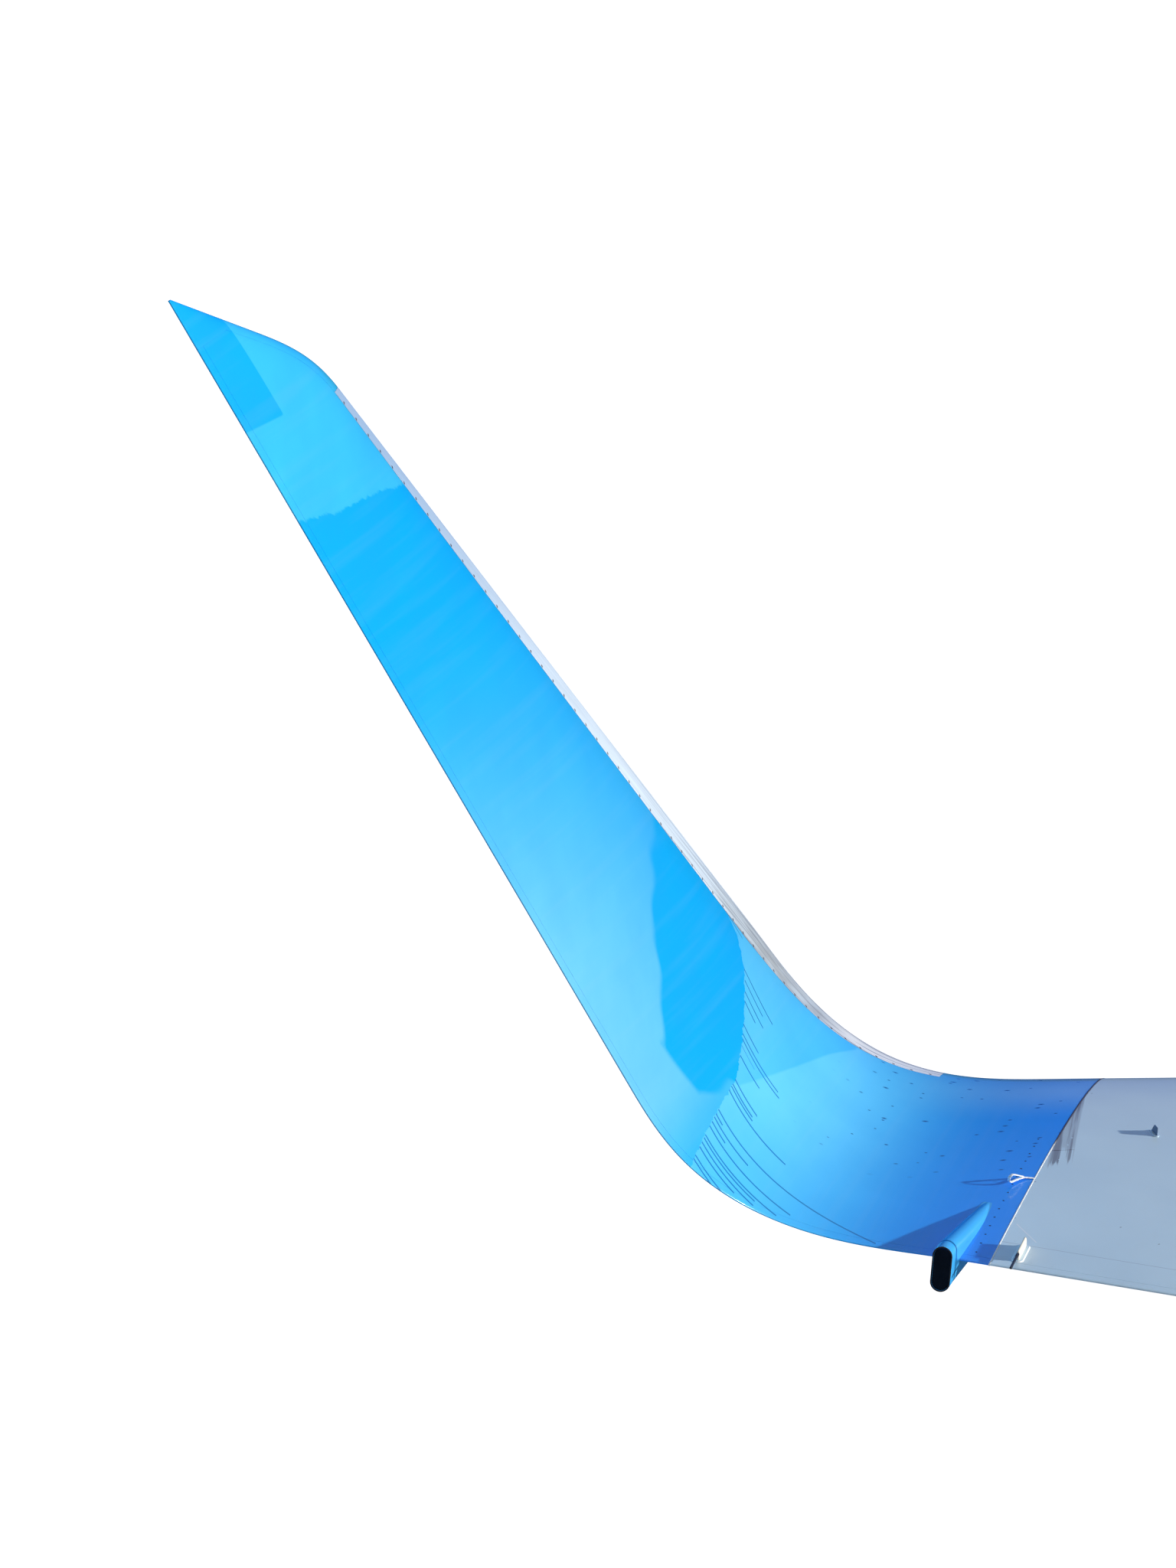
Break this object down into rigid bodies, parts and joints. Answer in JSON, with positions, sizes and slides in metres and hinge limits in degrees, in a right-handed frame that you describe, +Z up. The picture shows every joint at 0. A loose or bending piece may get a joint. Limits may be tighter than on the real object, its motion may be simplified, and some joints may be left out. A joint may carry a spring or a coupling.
{
  "type": "aircraft winglet",
  "caption": "Blended aircraft winglet: a tall raked blade that curves up out of a short wing end, with a bare metal leading edge and an aft light fairing; bolts on at its inboard rib.",
  "frame": {"origin": "centre of the bolt pattern on the inboard face of the wing end's inboard rib", "axes": "+X forward along the air stream, +Y outboard along the wing, +Z up"},
  "size_m": [3.8207, 1.9162, 2.5397],
  "materials": {
    "blue_paint": "glossy sky-blue aircraft paint",
    "grey_paint": "satin light grey wing paint, a little dirty",
    "bare_aluminium": "bare polished aluminium sheet with fine streaks along the edge",
    "primer": "matt green-yellow primer on structure inside",
    "bolt_steel": "plated steel",
    "sealant": "off-white sealant, dirty in places",
    "gasket_rubber": "black rubber",
    "dark_lens": "glossy dark lens",
    "lamp": "clear lamp body",
    "lamp_plate": "plain sheet",
    "cream_paint": "cream paint",
    "carbon_rod": "black carbon-loaded rod"
  },
  "bodies": {
    "root": {"inboard_skin": "blue_paint", "outboard_skin": "blue_paint", "root_nose": "blue_paint", "tip_nose": "blue_paint", "tip_cap": "blue_paint", "trailing_edge_strip": "blue_paint", "light_upper_fairing": "blue_paint", "light_lower_fairing": "blue_paint", "light_retainer": "blue_paint", "wing_upper_skin": "grey_paint", "wing_lower_skin": "grey_paint", "wing_nose": "grey_paint", "wing_trailing_edge": "grey_paint", "flow_vane": "grey_paint", "leading_edge": "bare_aluminium", "front_spar": "primer", "rear_spar": "primer", "root_rib": "primer", "rib_1": "primer", "rib_2": "primer", "rib_3": "primer", "rib_4": "primer", "rib_5": "primer", "rib_6": "primer", "rib_7": "primer", "rib_8": "primer", "wing_front_spar": "primer", "wing_rear_spar": "primer", "wing_joint_rib": "primer", "wing_inboard_rib": "primer", "joint_bolts": "bolt_steel", "joint_nuts": "bolt_steel", "joint_seal": "sealant", "peeled_sealant": "sealant", "light_gasket": "gasket_rubber", "light_lens": "dark_lens", "light_lamps": "lamp", "light_carrier": "lamp_plate", "discharger_base": "cream_paint", "discharger_rod": "carbon_rod"}
  },
  "joints": []
}
